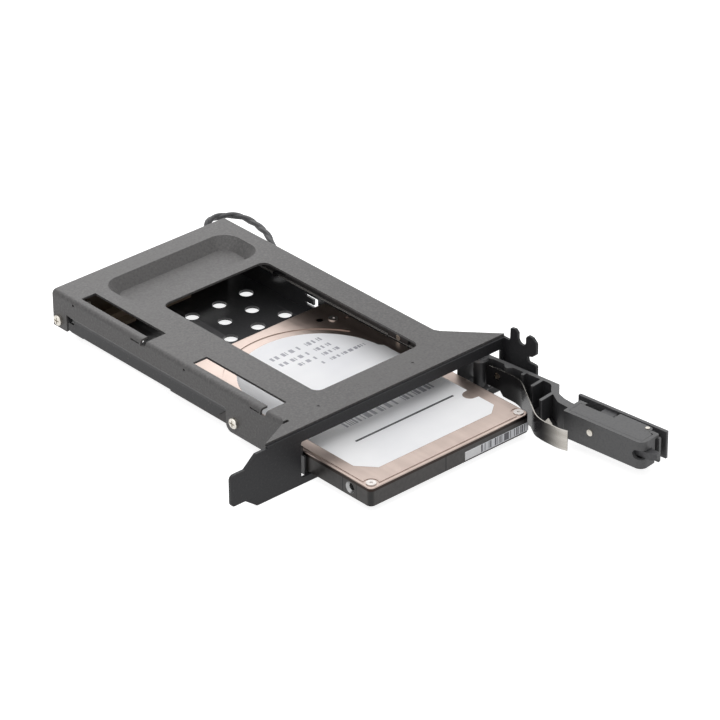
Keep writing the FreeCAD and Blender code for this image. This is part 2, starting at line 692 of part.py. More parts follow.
def door_frame():
    wall_in = wall_out - wall_sheet
    knuckle = rod(knuckle_radius, V(0, 0, door_low), V(0, 0, door_high))
    arm = slab([(-1.7, 0.6), (1.1, 0.8), (1.5, wall_in - 0.7), (3.4, wall_in), (3.4, wall_out),
                (-2.4, wall_out)], door_low, door_high, 0.2)
    sole = slab([(wall_end - 12.4, wall_in + 0.4), (wall_end - 12.4, 2.0), (wall_end - 9.4, -0.2),
                 (wall_end - 5.4, -3.0), (wall_end - 1.6, -4.5), (wall_end + 1.1, -4.8),
                 (box_start - 5.2, -4.6), (box_start - 4.2, -3.6), (wall_end + 0.8, 0.4),
                 (wall_end - 1.8, wall_in + 0.4)], door_low, door_low + sole_sheet)
    sole = sole.cut(spring_side())
    wall = slab([(-2.4, wall_in), (wall_end - 2.2, wall_in), (wall_end + 0.4, -0.4),
                 (box_start - 4.7, -4.6), (box_start + 1, -5.2),
                 (box_start + 1, -2.0), (box_start - 0.7, -2.0), (box_start - 4.5, -1.4),
                 (scoop_front, -0.15), (wall_end + 0.6, wall_out - 1.4),
                 (wall_end, wall_out), (-2.4, wall_out)], door_low, door_high,
                [0, 3.0, 3.0, 5.0, 0, 0, 2.0, 4.0, 2.0, 0.6, 0.4, 0.5])
    tooth = slab([(7.6, wall_in + 0.4), (9.6, 1.6), (10.6, 1.6), (12.4, wall_in + 0.4)], door_low,
                 door_high, 0.2)
    boss = slab(rectangle(rivet_t - 2.4, spring_back, rivet_t + 1.0, wall_in + 0.4), spring_low + 1,
                spring_high - 1)
    fins = []
    for t, tip in ribs:
        root = wall_in + 0.4 if t < wall_end else -0.5
        fins.append(slab(rectangle(t - rib_sheet / 2, tip, t + rib_sheet / 2, root), door_low, door_high,
                         [0.55, 0.55, 0, 0]))
    case = slab(rectangle(box_start, box_in, box_end, box_out), door_low, door_high,
                [0.4, box_corner, 0.4, 0.4])
    room = block(box_start + box_wall, box_in + box_wall, door_low + box_floor, box_end - box_wall,
                 box_out - box_wall,
                 door_high + 1)
    doorway = block(box_end - 3, bolt_in - run_gap, bolt_low - run_gap, box_end + 1, bolt_out + run_gap,
                    bolt_high + run_gap)
    nose_z = (bolt_low + bolt_high) / 2
    nose_half = (bolt_high - bolt_low) / 2 + nose_gap
    recess = join([rod(nose_half, V(box_end - nose_slot, box_in - 1, nose_z),
                       V(box_end - nose_slot, bolt_in, nose_z)),
                   block(box_end - nose_slot, box_in - 1, nose_z - nose_half, box_end + 1, bolt_in,
                         nose_z + nose_half)])
    lip = block(box_end - box_wall, box_out - end_lip, door_low, box_end + end_lip_past, box_out,
                door_high - lid_sheet)
    groove = block(box_end - box_wall - 0.05, box_out - end_lip - end_slit, door_low - 1, box_end + 1,
                   box_out - end_lip,
                   door_high - lid_sheet)
    lid_seat = block(lid_wide_t - 0.1, box_out - box_wall - 0.1, door_high - lid_sheet - 0.05,
                     lid_wide_end + 0.1,
                     box_out + 1, door_high + 1)
    boss_room = block(lever_pin_t - 3.6, box_out - 2.2, door_low + box_floor - 0.4, lever_pin_t + 3.4,
                      box_out + 3,
                      door_high - lid_sheet - 0.05)
    tab_room = block(lever_tab_t - tab_before, box_out - 1.5, door_high - 3.2, lever_tab_t + tab_after,
                     box_out + 1,
                     door_high + 1)
    ear = rod(1.6, V(lever_pin_t, lever_pin_o, door_low), V(lever_pin_t, lever_pin_o, door_low + lid_sheet))
    body = join([knuckle, arm, wall, sole, tooth, boss, case, lip, ear] + fins)
    bores = [rod(hinge_pin_radius + fit_gap, V(0, 0, 0), V(0, 0, cover_top)),
             rod(lever_pin_radius, V(lever_pin_t, lever_pin_o, 0), V(lever_pin_t, lever_pin_o, cover_top)),
             rod(0.8, V(rivet_t, spring_back - 1, rivet_z), V(rivet_t, wall_out + 1, rivet_z)),
             rod(guide_pin_radius, V(guide_t, box_in - 1, guide_z),
                 V(guide_t, box_in + box_wall + 0.01, guide_z))]
    return cut_all(body, [room, doorway, recess, groove, lid_seat, boss_room, tab_room] + bores)


# Door places
spring_back = 1.25
rivet_z = spring_high - rivet_drop
guide_t = box_start + 11.2
guide_z = 10.1
guide_pin_radius = 0.9
lever_tab_t = box_start + 11.3
tab_before = 8.2
tab_after = 3.7
lid_wide_t = lever_tab_t + tab_after + 0.3
lid_wide_end = lever_pin_t + 1.6
lid_out = wall_out - plate_sheet - 2 * run_gap
bolt_tip = box_end + bolt_reach


def latch_cover():
    gap = 0.1
    t0 = box_start + box_wall + gap
    t1 = box_end - box_wall - gap
    o0 = box_in + box_wall + gap
    o1 = box_out - box_wall - gap
    lid = slab([(t0, o0), (t1, o0), (t1, o1), (lid_wide_end, o1), (lid_wide_end, lid_out),
                (lid_wide_t, lid_out),
                (lid_wide_t, o1), (t0, o1)], door_high - lid_sheet, door_high,
               [0.4, 0.4, 1.2, 0.3, 1.5, 0.3, 0.2, 0.4])
    tab_room = block(lever_tab_t - tab_before, box_out - 1.5, door_high - 3.2, lever_tab_t + tab_after,
                     box_out + 1,
                     door_high + 1)
    bore = rod(lever_pin_radius + fit_gap, V(lever_pin_t, lever_pin_o, 0),
               V(lever_pin_t, lever_pin_o, cover_top))
    return cut_all(lid, [tab_room, bore])


def latch_lever():
    plate_in = wall_out - plate_sheet
    low = door_low + box_floor - 0.2
    high = door_high - lid_sheet - 0.2
    plate = slab(rectangle(plate_start, plate_in, plate_end, wall_out), door_low, door_high,
                 [0.2, 0.2, 0.4, 0.4])
    boss = rod(1.9, V(lever_pin_t, lever_pin_o, low), V(lever_pin_t, lever_pin_o, high))
    neck = block(lever_pin_t - 1.9, lever_pin_o, low, lever_pin_t + 1.9, plate_in + 0.2, high)
    finger = slab(rectangle(lever_pin_t - finger_sheet / 2, lever_pin_o - finger_reach,
                            lever_pin_t + finger_sheet / 2,
                            lever_pin_o), bolt_low + 0.6, bolt_high - 0.6, [0.6, 0.6, 0, 0])
    tab = block(lever_tab_t - 2.6, box_out - 1.2, door_high - 2.9, lever_tab_t + 2.6, plate_in + 0.2,
                door_high - 0.9)
    bore = rod(lever_pin_radius + fit_gap, V(lever_pin_t, lever_pin_o, 0),
               V(lever_pin_t, lever_pin_o, cover_top))
    return join([plate, boss, neck, finger, tab]).cut(bore)


def latch_bolt():
    body = slab([(bolt_rear, bolt_in), (bolt_tip - 1.6, bolt_in), (bolt_tip, bolt_in + 1.4),
                 (bolt_tip, bolt_out),
                 (bolt_rear, bolt_out)], bolt_low, bolt_high, [0, 0.6, 0.6, 0.5, 0])
    notch = block(lever_pin_t - 1.5, lever_pin_o - finger_reach - 0.35, bolt_low - 1, lever_pin_t + 1.5,
                  bolt_out + 1,
                  bolt_high + 1)
    middle_o = (bolt_in + bolt_out) / 2
    middle_z = (bolt_low + bolt_high) / 2
    seat = rod(0.8, V(bolt_rear - 3, middle_o, middle_z), V(bolt_rear + 0.5, middle_o, middle_z))
    return join([body.cut(notch), seat])


def latch_spring():
    """A coil spring between the bolt's shoulder and the end of the latch box."""
    start = box_start + box_wall + 0.2
    height = bolt_rear - start - 2 * coil_wire - 0.1
    helix = Part.makeHelix(coil_pitch, height, coil_radius)
    ring = Part.Wire(Part.makeCircle(coil_wire, V(coil_radius, 0, 0),
                                     V(0, 1, coil_pitch / (2 * math.pi * coil_radius))))
    coil = Part.Wire(helix).makePipeShell([ring], True, True)
    coil.rotate(V(0, 0, 0), V(0, 1, 0), 90)
    coil.translate(V(start + coil_wire, (bolt_in + bolt_out) / 2, (bolt_low + bolt_high) / 2))
    return coil


def leaf_spring():
    face = spring_back
    strip = bent_strip(spring_path(), spring_sheet, spring_bend, spring_deep_low, spring_high)
    deep_from = rivet_t + spring_deep_from
    deep_to = drive_out - spring_deep_to
    drop = spring_low - spring_deep_low
    root_trim = slab([(0, 0), (deep_from, 0), (deep_from, spring_deep_low), (deep_from - drop, spring_low),
                      (0, spring_low)], spring_deep - 2, face + 2, 0.0, (0, 2))
    end_trim = slab([(deep_to, 0), (2 * drive_out, 0), (2 * drive_out, spring_low),
                     (deep_to + 2 * drop, spring_low), (deep_to, spring_deep_low)],
                    spring_deep - 2, face + 2, 0.0, (0, 2))
    hole = rod(0.8, V(rivet_t, -3, rivet_z), V(rivet_t, 4, rivet_z))
    point_t = drive_out + (spring_heel + spring_crest) / 2
    point = slab([(point_t - 1.4, spring_high - 0.2), (point_t + 1.8, spring_high - 0.2),
                  (point_t, spring_high + 1.7)],
                 spring_deep, spring_deep + 0.6, 0.0, (0, 2))
    return join([cut_all(strip, [hole, root_trim, end_trim]), point])


def spring_rivet():
    shank = rod(0.8, V(rivet_t, spring_back - spring_sheet, rivet_z), V(rivet_t, wall_out - 0.2, rivet_z))
    star = []
    for i in range(12):
        reach = rivet_star[i % 2]
        star.append((rivet_t + reach * math.cos(i * math.pi / 6),
                     rivet_z + reach * math.sin(i * math.pi / 6)))
    head = slab(star, spring_back - spring_sheet - 0.4, spring_back - spring_sheet, 0.0, (0, 2))
    return head.fuse(shank).removeSplitter()


def lever_pin():
    return rod(lever_pin_radius, V(lever_pin_t, lever_pin_o, door_low),
               V(lever_pin_t, lever_pin_o, door_high + 0.3))


def guide_pin():
    shank = rod(guide_pin_radius, V(guide_t, box_in, guide_z), V(guide_t, box_in + box_wall, guide_z))
    head = rod(1.15, V(guide_t, box_in - 0.4, guide_z), V(guide_t, box_in, guide_z))
    return head.fuse(shank).removeSplitter()


# Drive places
lid_low = drive_low + drive_base_height
drive_screw_radius = 1.7
screw_inset = 2.6
press_depth = 0.2
rim_width = 1.2
disc_radius = 34.2
groove_radius = 31.6
groove_width = 1.1
groove_depth = 0.25
groove_front = 15.0
disc_x = drive_left + drive_width / 2
disc_y = drive_rear - 36.0
drive_screw_places = [(drive_left + screw_inset, drive_front + screw_inset),
                      (drive_right - screw_inset, drive_front + screw_inset),
                      (drive_left + screw_inset, disc_y - 15), (drive_right - screw_inset, disc_y - 15),
                      (drive_left + 5.6, drive_rear - 10.5), (drive_right - 5.6, drive_rear - 10.5)]


def drive_outline(inset):
    return rectangle(drive_left + inset, drive_front + inset, drive_right - inset, drive_rear - inset)


def drive_base():
    tub = slab(drive_outline(0), drive_low, lid_low, drive_corner)
    rim = slab(drive_outline(drive_lid_sheet + 0.05), lid_low, drive_top - drive_lid_sheet - press_depth,
               drive_corner - 0.5)
    room = slab(drive_outline(drive_wall), drive_low + drive_floor, drive_top, 6.0)
    recess = slab(rectangle(drive_left + pcb_bay_side, drive_rear - pcb_bay_length,
                            drive_right - pcb_bay_side,
                            drive_rear - 1.2), drive_low - 1, drive_low + pcb_bay_depth, 1.0)
    slot = block(socket_left - 0.6, drive_rear - connector_depth, drive_low - 1,
                 socket_left + socket_width + 0.6, drive_rear + 1,
                 drive_low + pcb_bay_depth + socket_height)
    holes = []
    for offset in side_hole_offsets:
        y = drive_rear - offset
        z = drive_low + side_hole_rise
        holes.append(rod(side_hole_radius, V(drive_left - 1, y, z), V(drive_left + 3.5, y, z)))
        holes.append(rod(side_hole_radius, V(drive_right - 3.5, y, z), V(drive_right + 1, y, z)))
        sink = side_hole_sink - side_hole_radius
        holes.append(Part.makeCone(side_hole_sink, side_hole_radius, sink, V(drive_left, y, z), V(1, 0, 0)))
        holes.append(Part.makeCone(side_hole_sink, side_hole_radius, sink, V(drive_right, y, z),
                                   V(-1, 0, 0)))
    return cut_all(tub.fuse(rim).removeSplitter(), [room, recess, slot] + holes)


def drive_cover():
    rim_top = drive_top - press_depth
    skirt = slab(drive_outline(0), lid_low, rim_top, drive_corner)
    hollow = slab(drive_outline(drive_lid_sheet + 0.02), lid_low - 1,
                  drive_top - drive_lid_sheet - press_depth,
                  drive_corner - 0.5)
    rim = [e for e in skirt.Edges if e.BoundBox.ZMin > rim_top - 0.01]
    lid = skirt.makeFillet(0.45, rim).cut(hollow)
    field = slab(drive_outline(rim_width), rim_top - 0.1, drive_top, 2.0)
    front_half = block(drive_left, drive_front, lid_low, drive_right, disc_y, drive_top + 1)
    disc = rod(disc_radius, V(disc_x, disc_y, lid_low), V(disc_x, disc_y, drive_top + 1))
    field = field.common(front_half.fuse(disc)).removeSplitter()
    seats = [rod(drive_screw_radius + 0.9, V(x, y, rim_top), V(x, y, drive_top + 1)) for x,
             y in drive_screw_places]
    pits = [rod(1.3, V(drive_right - 9.5, drive_rear - 8, lid_low),
                V(drive_right - 9.5, drive_rear - 8, drive_top + 1)),
            rod(0.8, V(drive_right - 1.9, drive_rear - 13, rim_top - 0.4),
                V(drive_right - 1.9, drive_rear - 13, drive_top + 1))]
    bottom = drive_top - groove_depth
    ring = rod(groove_radius, V(disc_x, disc_y, bottom), V(disc_x, disc_y, drive_top + 1))
    ring = ring.cut(rod(groove_radius - groove_width, V(disc_x, disc_y, bottom - 1),
                        V(disc_x, disc_y, drive_top + 2)))
    ring = ring.common(block(drive_left, disc_y + groove_front, lid_low, drive_right, drive_rear,
                             drive_top + 1))
    slot = block(socket_left - 0.6, drive_rear - 2, lid_low - 1, socket_left + socket_width + 0.6,
                 drive_rear + 1,
                 drive_low + pcb_bay_depth + socket_height)
    return cut_all(join([lid, field]), seats + pits + [ring, slot])


def drive_screws():
    heads = []
    seat = drive_top - press_depth
    for x, y in drive_screw_places:
        head = rod(drive_screw_radius, V(x, y, seat), V(x, y, seat + 0.35))
        heads.append(head.cut(rod(0.5, V(x, y, seat + 0.1), V(x, y, seat + 1))))
    return Part.makeCompound(heads)


def drive_board():
    top = drive_low + pcb_bay_depth
    side = pcb_bay_side + pcb_gap
    board = slab(rectangle(drive_left + side, drive_rear - pcb_bay_length + pcb_gap, drive_right - side,
                           drive_rear - connector_depth - pcb_gap), top - pcb_sheet, top, 1.0)
    return board


def drive_connector():
    low = drive_low + 0.3
    body = block(socket_left - 0.5, drive_rear - connector_depth, low, socket_left + socket_width + 0.5,
                 drive_rear - 0.2,
                 low + socket_height + 0.6)
    mouth = block(socket_left + 2.4, drive_rear - 4.6, low + 0.9, socket_left + socket_width - 2.4,
                  drive_rear + 1, low + 3.2)
    return body.cut(mouth)


nodes = {
    "top_cover": top_cover, "slot_bracket": slot_bracket, "bottom_tray": bottom_tray,
         "side_screws": side_screws,
    "side_spacers": side_spacers, "backplane_board": backplane_board, "drive_socket": drive_socket,
    "data_port": lambda: rear_port(socket_left + port_inset, data_port_width),
    "power_port": lambda: rear_port(socket_left + 2 * port_inset + data_port_width, power_port_width),
    "board_screws": board_screws, "wire_header": wire_header, "signal_wire": signal_wire,
    "wire_grommet": wire_grommet, "hinge_bracket": hinge_bracket, "hinge_pin": hinge_pin,
    "drive_base": drive_base, "drive_cover": drive_cover, "drive_screws": drive_screws,
         "drive_board": drive_board,
    "drive_connector": drive_connector,
}
door_nodes = {
    "door_frame": door_frame, "latch_cover": latch_cover, "latch_lever": latch_lever,
              "latch_bolt": latch_bolt,
    "latch_spring": latch_spring, "leaf_spring": leaf_spring, "spring_rivet": spring_rivet,
              "lever_pin": lever_pin,
    "guide_pin": guide_pin,
}
shapes = {name: make() for name, make in nodes.items()}
shapes.update({name: on_door(make()) for name, make in door_nodes.items()})
for name, shape in shapes.items():
    shape.exportStep(f"parts/{name}.step")
    print(name, len(shape.Solids), "solids, valid", shape.isValid(), "volume", round(shape.Volume, 1))
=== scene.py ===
import bpy
import json
import math
import numpy as np
from mathutils import Matrix, Vector


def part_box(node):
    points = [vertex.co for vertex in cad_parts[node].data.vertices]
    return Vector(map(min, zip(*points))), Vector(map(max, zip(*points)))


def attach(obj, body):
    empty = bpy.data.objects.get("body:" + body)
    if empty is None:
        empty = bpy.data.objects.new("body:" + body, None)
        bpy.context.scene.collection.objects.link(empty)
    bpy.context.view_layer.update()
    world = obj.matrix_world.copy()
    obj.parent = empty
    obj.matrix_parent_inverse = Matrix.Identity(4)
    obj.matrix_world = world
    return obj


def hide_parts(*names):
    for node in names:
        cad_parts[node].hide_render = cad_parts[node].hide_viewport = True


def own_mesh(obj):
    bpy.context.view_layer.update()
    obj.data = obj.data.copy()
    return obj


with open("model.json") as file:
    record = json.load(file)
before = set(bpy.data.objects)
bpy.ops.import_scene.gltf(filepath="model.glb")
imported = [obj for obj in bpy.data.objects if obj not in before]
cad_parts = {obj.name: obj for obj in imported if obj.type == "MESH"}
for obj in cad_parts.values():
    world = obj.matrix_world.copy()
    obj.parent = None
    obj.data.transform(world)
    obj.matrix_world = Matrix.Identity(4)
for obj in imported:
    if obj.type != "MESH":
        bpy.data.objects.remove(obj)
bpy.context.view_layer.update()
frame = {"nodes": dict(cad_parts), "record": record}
nodes = frame["nodes"]
scene = bpy.context.scene
mm = 0.001
print("frame loaded:", len(nodes), "nodes")

# Angles and place fitted to the photograph, with the image taken as 720 by 720
cameraFit = {"azimuth": -41.831, "elevation": 29.971, "roll": -0.37, "place": (-0.685956, -0.827767, 0.676791),
             "lens": 200.744, "sensor": 36.0, "clip": (0.05, 20.0)}


def addCamera(fit):
    turn, lift, roll = (math.radians(fit[k]) for k in ("azimuth", "elevation", "roll"))
    back = Vector((math.sin(turn) * math.cos(lift), -math.cos(turn) * math.cos(lift), math.sin(lift)))
    right = Vector((math.cos(turn), math.sin(turn), 0.0))
    up = back.cross(right)
    tiltedRight = right * math.cos(roll) + up * math.sin(roll)
    tiltedUp = up * math.cos(roll) - right * math.sin(roll)
    data = bpy.data.cameras.new("photoCamera")
    data.lens, data.sensor_width = fit["lens"], fit["sensor"]
    data.clip_start, data.clip_end = fit["clip"]
    camera = bpy.data.objects.new("photoCamera", data)
    aim = Matrix((tiltedRight, tiltedUp, back)).transposed().to_4x4()
    camera.matrix_world = Matrix.Translation(fit["place"]) @ aim
    scene.collection.objects.link(camera)
    scene.camera = camera


addCamera(cameraFit)
print("camera set")


def rgb(r, g, b):
    return (r, g, b, 1.0)


# One wrapped socket: operators add Math nodes, node() adds any other node.
class Val:
    def __init__(self, tree, out=None):
        self.tree, self.out = tree, out

    def node(self, kind, settings=None, sockets=None, out=0):
        made = self.tree.nodes.new(kind)
        for key, value in (settings or {}).items():
            setattr(made, key, value)
        for key, value in (sockets or {}).items():
            if isinstance(value, Val):
                self.tree.links.new(value.out, made.inputs[key])
            else:
                made.inputs[key].default_value = value
        return Val(self.tree, made.outputs[out])

    def math(self, operation, first, second=0.0):
        return self.node("ShaderNodeMath", {"operation": operation}, {0: first, 1: second})

    def __add__(self, other):
        return self.math("ADD", self, other)

    def __radd__(self, other):
        return self.math("ADD", other, self)

    def __sub__(self, other):
        return self.math("SUBTRACT", self, other)

    def __rsub__(self, other):
        return self.math("SUBTRACT", other, self)

    def __mul__(self, other):
        return self.math("MULTIPLY", self, other)

    def above(self, low):
        return self.math("GREATER_THAN", self, low)

    def below(self, high):
        return self.math("LESS_THAN", self, high)

    def between(self, low, high):
        return self.above(low) * self.below(high)

    def either(self, other):
        return self.math("MAXIMUM", self, other)

    def ease(self, low, high):
        return self.node("ShaderNodeMapRange", {"interpolation_type": "SMOOTHSTEP"},
                         {"Value": self, "From Min": low, "From Max": high})

    # a colour ramp with two stops
    def fade(self, stops, first=(0.0, 0.0, 0.0), last=(1.0, 1.0, 1.0)):
        made = self.node("ShaderNodeValToRGB", None, {"Fac": self})
        for stop, place, colour in zip(made.out.node.color_ramp.elements, stops, (first, last)):
            stop.position, stop.color = place, rgb(*colour)
        return made

    def noise(self, scale, detail=2.0, stretch=(1.0, 1.0, 1.0)):
        placed = self.node("ShaderNodeMapping", None, {"Vector": self, "Scale": stretch})
        return self.node("ShaderNodeTexNoise", None, {"Vector": placed, "Scale": scale, "Detail": detail})

    def blend(self, first, second):
        return self.node("ShaderNodeMix", {"data_type": "RGBA"}, {"Factor": self, "A": first, "B": second}, 2)

    def axis(self, which):
        return self.node("ShaderNodeSeparateXYZ", None, {"Vector": self}, which)

    def bump(self, look):
        return self.node("ShaderNodeBump", None,
                         {"Height": self, "Strength": look["bump"], "Distance": look["bumpDepth"]})


def startFinish(name):
    finish = bpy.data.materials.new(name)
    finish.use_nodes = True
    tree = finish.node_tree
    tree.nodes.clear()
    shader = tree.nodes.new("ShaderNodeBsdfPrincipled")
    tree.links.new(shader.outputs[0], tree.nodes.new("ShaderNodeOutputMaterial").inputs[0])
    here = Val(tree).node("ShaderNodeTexCoord", out=3)    # Object coordinates
    return finish, shader, here


def setSockets(shader, values):
    for key, value in values.items():
        if isinstance(value, Val):
            value.tree.links.new(value.out, shader.inputs[key])
        else:
            shader.inputs[key].default_value = value


# Painted sheet or moulded plastic: a slow drift and a fine grain move the shade between dark and light, and the
# grain also gives an orange-peel bump and small lighter specks.
def paintFinish(name, look):
    finish, shader, here = startFinish(name)
    x, y, z = (here.axis(k) for k in range(3))
    drift = here.noise(look["driftScale"], detail=3.0)
    grain = here.noise(look["grainScale"])
    tone = drift + (grain - 0.5) * look["grainShare"]
    shade = tone.fade(look["shadeStops"], look["dark"], look["light"])
    if "rail" in look:                                    # painted shade, darker where the side sheet steps in behind its ears
        x0, x1, x2, z0, z1 = (k * mm for k in look["rail"])
        insetShade = x.ease(x0, x1) * x.below(x2) * (1.0 - z.ease(z0, z1))
        shade = (insetShade * look["railPaintedShade"]).blend(shade, rgb(*look["railPaintedShadeColour"]))
    if "pocket" in look:                                  # painted shade in the pockets between the arm's ribs
        y0, y1, z1 = (k * mm for k in look["pocket"])
        pocketShadeMask = y.ease(y0, y1) * z.below(z1)
        shade = (pocketShadeMask * look["pocketPaintedShade"]).blend(shade, rgb(*look["pocketPaintedShadeColour"]))
    if "highlightEdge" in look:                                # painted highlight along a wall's top edge, and painted light on the ledge beyond it
        x0, x1, z0, z1 = (k * mm for k in look["highlightEdge"])
        shade = x.ease(x1, x1 + look["ledgeRun"] * mm).blend(shade, rgb(*look["ledgePaintedLightColour"]))
        shade = (x.between(x0, x1) * z.between(z0, z1)).blend(shade, rgb(*look["bareAndHighlightColour"]))
    if "reflectionStreaks" in look:                                     # painted reflection streaks, long and faint, across the sheet
        reflectionStreaks = here.noise(look["reflectionStreakScale"], detail=4.0, stretch=look["reflectionStreaks"])
        shade = reflectionStreaks.fade(look["reflectionStreakStops"]).blend(shade, rgb(*look["reflectionStreakColour"]))
    speck = grain.fade(look["speckStops"]) * look["speck"]
    setSockets(shader, {
        "Base Color": speck.blend(shade, rgb(*look["speckColour"])),
        "Roughness": look["roughness"] + (drift - 0.5) * look["roughSpread"],
        "Specular IOR Level": look["gloss"], "Normal": grain.bump(look),
    })
    return finish


# Bare metal: streaks drawn along one axis change the shade and the gloss. A pressed lid's edge, turned down below
# a given height, gets painted shade, dark and brown.
def metalFinish(name, look):
    finish, shader, here = startFinish(name)
    streak = here.noise(look["streakScale"], detail=3.0, stretch=look["streak"])
    drift = here.noise(look["driftScale"])
    shade = (streak * 0.5 + drift * 0.5).fade(look["shadeStops"], look["dark"], look["light"])
    # painted shade on the lid's turned-down edge
    if "edge" in look:
        low, high = (k * mm for k in look["edge"])
        shade = here.axis(2).ease(low, high).blend(rgb(*look["edgePaintedShadeColour"]), shade)
    setSockets(shader, {
        "Base Color": shade, "Metallic": look["metal"],
        "Roughness": look["roughness"] + (streak - 0.5) * look["roughSpread"],
        "Normal": streak.bump(look),
    })
    return finish


# Cast tub: dark coating, bright where the screw holes are cut, with fine dark seams across the front and side
# and painted shade on the rounded corners in front, drawn in the seams' colour.
def castingFinish(name, look):
    finish, shader, here = startFinish(name)
    x, y, z = (here.axis(k) for k in range(3))
    grain = here.noise(look["streakScale"], detail=3.0)
    shade = grain.fade(look["shadeStops"], look["dark"], look["light"])
    half = look["seamWidth"] * mm / 2
    place = look["frontSeam"] * mm
    seamsAndShade = x.between(place - half, place + half) * y.below(look["front"] * mm)
    for place in look["sideSeams"]:
        line = y.between(place * mm - half, place * mm + half)
        seamsAndShade = seamsAndShade.either(line * x.below(look["side"] * mm))
    left, right, front, low, high = (k * mm for k in look["corner"])
    turned = here.math("MINIMUM", x - left, right - x) + (y - front)     # smallest on the rounded corners
    # painted shade on the rounded front corners
    seamsAndShade = seamsAndShade.either((1.0 - turned.ease(low, high)) * look["cornerPaintedShade"])
    coated = seamsAndShade.blend(shade, rgb(*look["seamAndShadeColour"]))
    bare = None
    for holeY, holeZ, radius in look["holes"]:
        dy, dz = y - holeY * mm, z - holeZ * mm
        spot = (dy * dy + dz * dz).below((radius * mm) ** 2)
        bare = spot if bare is None else bare.either(spot)
    setSockets(shader, {
        "Base Color": bare.blend(coated, rgb(*look["bareAndHighlightColour"])),
        "Metallic": look["metal"] + bare * (1 - look["metal"]),
        "Roughness": look["roughness"] + (grain - 0.5) * look["roughSpread"],
        "Normal": grain.bump(look),
    })
    return finish


# Leaf spring: rolled steel with painted shade near its root, bright towards the free end and along its cut top rim.
def leafFinish(name, look):
    finish, shader, here = startFinish(name)
    streak = here.noise(look["streakScale"], detail=3.0, stretch=look["streak"])
    shade = streak.fade(look["shadeStops"], look["dark"], look["light"])
    rim = here.axis(2).above(look["rim"] * mm)
    # painted shade darkens the strip towards its root, but not along its top rim
    rootShade = here.axis(1).ease(look["brightFrom"] * mm, look["darkFrom"] * mm) * (1.0 - rim)
    setSockets(shader, {
        "Base Color": rootShade.blend(shade, rgb(*look["rootPaintedShadeColour"])),
        "Metallic": look["metal"] - rootShade, "Specular IOR Level": look["gloss"],
        "Roughness": look["roughness"] + (streak - 0.5) * look["roughSpread"],
        "Normal": streak.bump(look),
    })
    return finish


coverPaint = {"dark": (0.069, 0.066, 0.066), "light": (0.095, 0.092, 0.091), "shadeStops": (0.3, 0.7),
              "driftScale": 25.0, "grainScale": 1300.0, "grainShare": 1.6, "roughness": 0.5, "roughSpread": 0.12,
              "gloss": 0.5, "bump": 0.5, "bumpDepth": 0.00005, "speck": 0.4, "speckStops": (0.62, 0.78),
              "speckColour": (0.17, 0.165, 0.16)}
# the cover's rail colour is painted shade
topPaint = dict(coverPaint, rail=(28.5, 30.2, 33.0, 12.6, 13.6), railPaintedShade=0.95, railPaintedShadeColour=(0.014, 0.014, 0.016))
bracketPaint = dict(coverPaint, dark=(0.013, 0.013, 0.015), light=(0.018, 0.018, 0.020), speck=0.10, gloss=0.32)
# on the tray: a painted highlight along the right wall's top edge, painted light on the ledge beyond it, and painted
# reflection streaks across the sheet
trayPaint = dict(coverPaint, dark=(0.050, 0.050, 0.053), light=(0.070, 0.070, 0.073), roughness=0.22, speck=0.05,
                 grainShare=0.3, reflectionStreaks=(3.0, 0.25, 1.0), reflectionStreakScale=60.0, reflectionStreakStops=(0.60, 0.68),
                 reflectionStreakColour=(0.11, 0.11, 0.115), highlightEdge=(103.7, 104.8, 9.45, 9.65),
                 bareAndHighlightColour=(0.80, 0.78, 0.75), ledgeRun=2.0, ledgePaintedLightColour=(0.15, 0.15, 0.155))
doorPlastic = dict(coverPaint, dark=(0.074, 0.074, 0.076), light=(0.090, 0.090, 0.092), roughness=0.46, speck=0.1)
# the arm's pocket colour is painted shade
armPlastic = dict(doorPlastic, pocket=(-46.0, -40.0, 13.9), pocketPaintedShade=0.85, pocketPaintedShadeColour=(0.016, 0.016, 0.018))
latchPlastic = dict(doorPlastic, dark=(0.050, 0.050, 0.053), light=(0.066, 0.066, 0.070))
portPlastic = dict(doorPlastic, dark=(0.016, 0.016, 0.016), light=(0.026, 0.026, 0.026), roughness=0.4)
socketPlastic = dict(doorPlastic, dark=(0.24, 0.18, 0.13), light=(0.36, 0.28, 0.205), roughness=0.4,
                     grainShare=0.2)
headerPlastic = dict(doorPlastic, dark=(0.55, 0.52, 0.44), light=(0.62, 0.59, 0.5), speckColour=(0.7, 0.68, 0.6),
                     grainShare=0.2)
boardLaminate = dict(doorPlastic, dark=(0.06, 0.038, 0.020), light=(0.09, 0.058, 0.032), roughness=0.45,
                     grainShare=0.2)
rubber = dict(doorPlastic, dark=(0.014, 0.014, 0.014), light=(0.022, 0.022, 0.022), roughness=0.6)
wireJacket = dict(rubber, dark=(0.034, 0.034, 0.037), light=(0.050, 0.050, 0.053), roughness=0.5)
screwSteel = {"dark": (0.50, 0.47, 0.42), "light": (0.72, 0.69, 0.63), "shadeStops": (0.35, 0.65), "metal": 1.0,
              "roughness": 0.3, "roughSpread": 0.15, "streakScale": 900.0, "streak": (1.0, 1.0, 1.0),
              "driftScale": 120.0, "bump": 0.1, "bumpDepth": 0.00003}
# the spring's root colour is painted shade
springSteel = dict(screwSteel, dark=(0.36, 0.34, 0.31), light=(0.46, 0.44, 0.41), shadeStops=(0.3, 0.7),
                   roughness=0.2, roughSpread=0.1, streak=(0.15, 0.15, 1.0), streakScale=700.0, bumpDepth=0.00002,
                   rootPaintedShadeColour=(0.020, 0.019, 0.020), brightFrom=-48.5, darkFrom=-37.0, rim=12.5, gloss=0.06)
rivetSteel = dict(screwSteel, dark=(0.42, 0.33, 0.25), light=(0.66, 0.55, 0.45))
